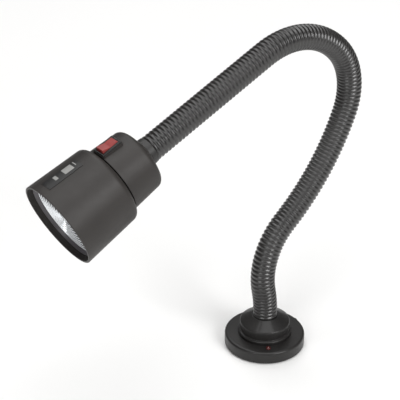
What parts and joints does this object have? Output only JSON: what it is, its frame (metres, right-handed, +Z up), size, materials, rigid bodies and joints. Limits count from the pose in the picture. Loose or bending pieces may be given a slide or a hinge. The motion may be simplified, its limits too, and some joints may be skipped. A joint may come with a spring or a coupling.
{
  "type": "solder fume extractor",
  "caption": "Bench solder fume extractor: round filter and fan head on a bendable corrugated neck over a weighted round base, with a rocker switch.",
  "frame": {"origin": "centre of the base's underside, on the bench surface", "axes": "+Z up; the neck lies in the XZ plane at rest and the head points towards -X and down"},
  "size_m": [0.3765, 0.0844, 0.3489],
  "materials": {
    "housing_plastic": "satin moulded, fine spark texture",
    "sleeve_plastic": "satin, corrugated",
    "base_paint": "gloss black enamel",
    "guard_chrome": "bright plated wire",
    "ring_grey": "satin grey",
    "carbon_foam": "open-cell foam",
    "fan_plastic": "moulded",
    "zinc_steel": "zinc plated",
    "iron_weight": "as cast",
    "black_rubber": "matte",
    "link_nylon": "moulded nylon",
    "lead_jacket": "satin",
    "rocker_red": "gloss translucent red",
    "switch_black": "gloss",
    "lamp_red": "clear red dome",
    "label_black": "printed film, blank",
    "contact_brass": "bright",
    "circuit_green": "solder mask",
    "winding_copper": "enamelled wire",
    "magnet_dark": "bonded ferrite"
  },
  "bodies": {
    "base": {"foot_pad": "black_rubber", "bottom_plate": "zinc_steel", "base_weight": "iron_weight", "base_shell": "base_paint", "base_screws": "zinc_steel", "power_indicator": "lamp_red", "cord_grommet": "black_rubber", "base_boss": "base_paint", "base_ferrule": "zinc_steel", "base_washer": "zinc_steel", "base_nut": "zinc_steel", "neck_link_1": "link_nylon", "power_lead": "lead_jacket"},
    "neck_2": {"neck_link_2": "link_nylon"},
    "neck_3": {"neck_link_3": "link_nylon"},
    "neck_4": {"neck_link_4": "link_nylon", "neck_sleeve": "sleeve_plastic"},
    "neck_5": {"neck_link_5": "link_nylon"},
    "neck_6": {"neck_link_6": "link_nylon"},
    "neck_7": {"neck_link_7": "link_nylon"},
    "head": {"neck_link_8": "link_nylon", "head_collar": "fan_plastic", "head_washer": "zinc_steel", "head_nut": "zinc_steel", "rear_cap": "housing_plastic", "front_housing": "housing_plastic", "rating_label": "label_black", "filter_grid": "fan_plastic", "fan_plate": "fan_plastic", "fan_frame": "fan_plastic", "bearing_front": "zinc_steel", "bearing_rear": "zinc_steel", "fan_stator": "winding_copper", "fan_board": "circuit_green", "fan_screws": "zinc_steel", "switch_body": "switch_black", "switch_terminals": "contact_brass", "speed_board": "circuit_green"},
    "filter_cartridge": {"guard_ring": "ring_grey", "inlet_guard": "guard_chrome", "carbon_filter": "carbon_foam"},
    "rotor": {"fan_rotor": "fan_plastic", "rotor_magnet": "magnet_dark", "fan_shaft": "zinc_steel"},
    "rocker": {"switch_rocker": "rocker_red"}
  },
  "joints": [
    {"name": "neck_flex_1_side", "type": "hinge", "parent": "base", "child": "neck_2", "pos_m": [-0.00345, 0, 0.06775], "axis": [1, 0, 0], "range_deg": [-25, 25], "deforming": ["neck_sleeve", "power_lead"]},
    {"name": "neck_flex_2", "type": "hinge", "parent": "neck_2", "child": "neck_3", "pos_m": [0.00236, 0, 0.11263], "axis": [0, 1, 0], "range_deg": [-20, 25], "deforming": ["neck_sleeve", "power_lead"]},
    {"name": "neck_flex_3", "type": "hinge", "parent": "neck_3", "child": "neck_4", "pos_m": [0.07134, 0, 0.18963], "axis": [0, -1, 0], "range_deg": [-25, 25], "deforming": ["neck_sleeve", "power_lead"]},
    {"name": "neck_flex_4", "type": "hinge", "parent": "neck_4", "child": "neck_5", "pos_m": [0.10174, 0, 0.27975], "axis": [0, 1, 0], "range_deg": [-20, 30], "deforming": ["neck_sleeve", "power_lead"]},
    {"name": "neck_flex_5", "type": "hinge", "parent": "neck_5", "child": "neck_6", "pos_m": [0.03923, 0, 0.33487], "axis": [0, -1, 0], "range_deg": [-30, 20], "deforming": ["neck_sleeve", "power_lead"]},
    {"name": "neck_flex_6_side", "type": "hinge", "parent": "neck_6", "child": "neck_7", "pos_m": [-0.03922, 0, 0.31723], "axis": [-0.3957, 0, 0.9184], "range_deg": [-30, 30], "deforming": ["neck_sleeve", "power_lead"]},
    {"name": "neck_flex_7", "type": "hinge", "parent": "neck_7", "child": "head", "pos_m": [-0.11452, 0, 0.28478], "axis": [0, 1, 0], "range_deg": [-30, 30], "deforming": ["neck_sleeve", "power_lead"]},
    {"name": "filter_cartridge_slide", "type": "slide", "parent": "head", "child": "filter_cartridge", "axis": [-0.9184, 0, -0.3957], "range_m": [0, 0.03]},
    {"name": "rotor_spin", "type": "hinge", "parent": "head", "child": "rotor", "pos_m": [-0.21362, 0, 0.24208], "axis": [-0.9184, 0, -0.3957], "continuous": true},
    {"name": "rocker_tilt", "type": "hinge", "parent": "head", "child": "rocker", "pos_m": [-0.18826, 0, 0.28786], "axis": [0, -1, 0], "range_deg": [0, 16]}
  ]
}
